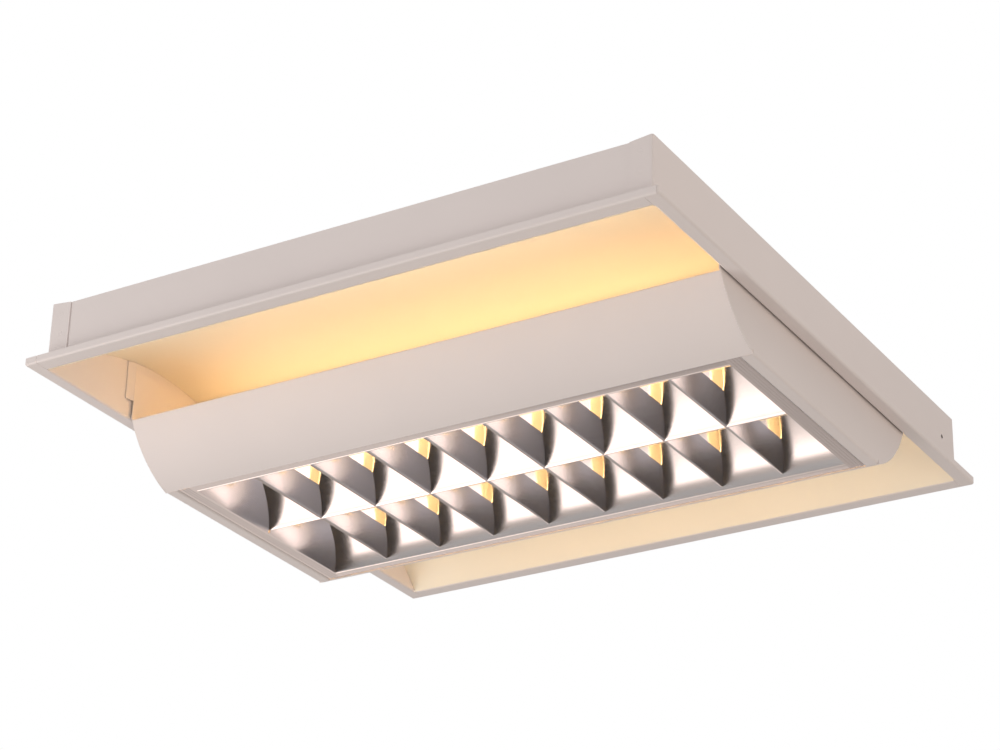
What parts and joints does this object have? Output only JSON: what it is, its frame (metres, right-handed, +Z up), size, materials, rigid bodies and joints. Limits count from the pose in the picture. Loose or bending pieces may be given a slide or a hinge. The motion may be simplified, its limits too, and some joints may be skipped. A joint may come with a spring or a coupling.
{
  "type": "recessed troffer light",
  "caption": "Square recessed ceiling light with a drop box, curved side reflectors and a hinged two-row aluminium louvre under linear lamps.",
  "frame": {"origin": "centre of the ceiling opening, level with the underside of the flange", "axes": "+X along the lamps towards the right end, +Y across towards the hinged side of the louvre, +Z up"},
  "size_m": [0.595, 0.595, 0.1096],
  "materials": {
    "painted_steel": "satin powder coat, warm white",
    "white_reflector": "matt white reflector paint",
    "satin_aluminium": "satin anodised",
    "zinc_steel": "zinc plated",
    "ballast_enamel": "white enamel",
    "white_plastic": "moulded, matt",
    "black_rubber": "matt",
    "wire_insulation": "smooth",
    "ferrite": "ground",
    "lamp_glass": "white phosphor inside clear glass",
    "lamp_cap_metal": "satin",
    "brass": "bright"
  },
  "bodies": {
    "root": {"side_wall_near": "painted_steel", "side_wall_far": "painted_steel", "end_wall_left": "painted_steel", "end_wall_right": "painted_steel", "roof_panel": "painted_steel", "box_side_near": "painted_steel", "box_side_far": "painted_steel", "box_end_left": "painted_steel", "box_end_right": "painted_steel", "vault_near": "white_reflector", "vault_far": "white_reflector", "gear_tray": "white_reflector", "tray_spacers": "zinc_steel", "tray_screws": "zinc_steel", "ballast_screws": "zinc_steel", "earth_screw": "zinc_steel", "hinge_brackets": "zinc_steel", "catch_brackets": "zinc_steel", "ballast_case": "ballast_enamel", "ballast_terminals": "white_plastic", "mains_terminal_block": "white_plastic", "wire_clips": "white_plastic", "lampholders_near": "white_plastic", "lampholders_far": "white_plastic", "cable_grommet": "black_rubber", "mains_wires": "wire_insulation", "lamp_wires": "wire_insulation", "catch_magnets": "ferrite"},
    "louvre": {"side_reflector_near": "satin_aluminium", "side_reflector_far": "satin_aluminium", "central_divider": "satin_aluminium", "louvre_end_left": "satin_aluminium", "louvre_end_right": "satin_aluminium", "cross_blade_1": "satin_aluminium", "cross_blade_2": "satin_aluminium", "cross_blade_3": "satin_aluminium", "cross_blade_4": "satin_aluminium", "cross_blade_5": "satin_aluminium", "cross_blade_6": "satin_aluminium", "cross_blade_7": "satin_aluminium", "cross_blade_8": "satin_aluminium", "hinge_pins": "zinc_steel", "keeper_plates": "zinc_steel"},
    "lamp_near": {"lamp_near_tube": "lamp_glass", "lamp_near_caps": "lamp_cap_metal", "lamp_near_pins": "brass", "lamp_near_rotors": "white_plastic"},
    "lamp_far": {"lamp_far_tube": "lamp_glass", "lamp_far_caps": "lamp_cap_metal", "lamp_far_pins": "brass", "lamp_far_rotors": "white_plastic"}
  },
  "joints": [
    {"name": "louvre_swing", "type": "hinge", "parent": "root", "child": "louvre", "pos_m": [0, 0.1093, -0.04], "axis": [1, 0, 0], "range_deg": [0, 90]},
    {"name": "lamp_near_turn", "type": "hinge", "parent": "root", "child": "lamp_near", "pos_m": [0, -0.05275, 0.012], "axis": [1, 0, 0], "range_deg": [0, 90]},
    {"name": "lamp_far_turn", "type": "hinge", "parent": "root", "child": "lamp_far", "pos_m": [0, 0.05275, 0.012], "axis": [1, 0, 0], "range_deg": [0, 90]}
  ]
}
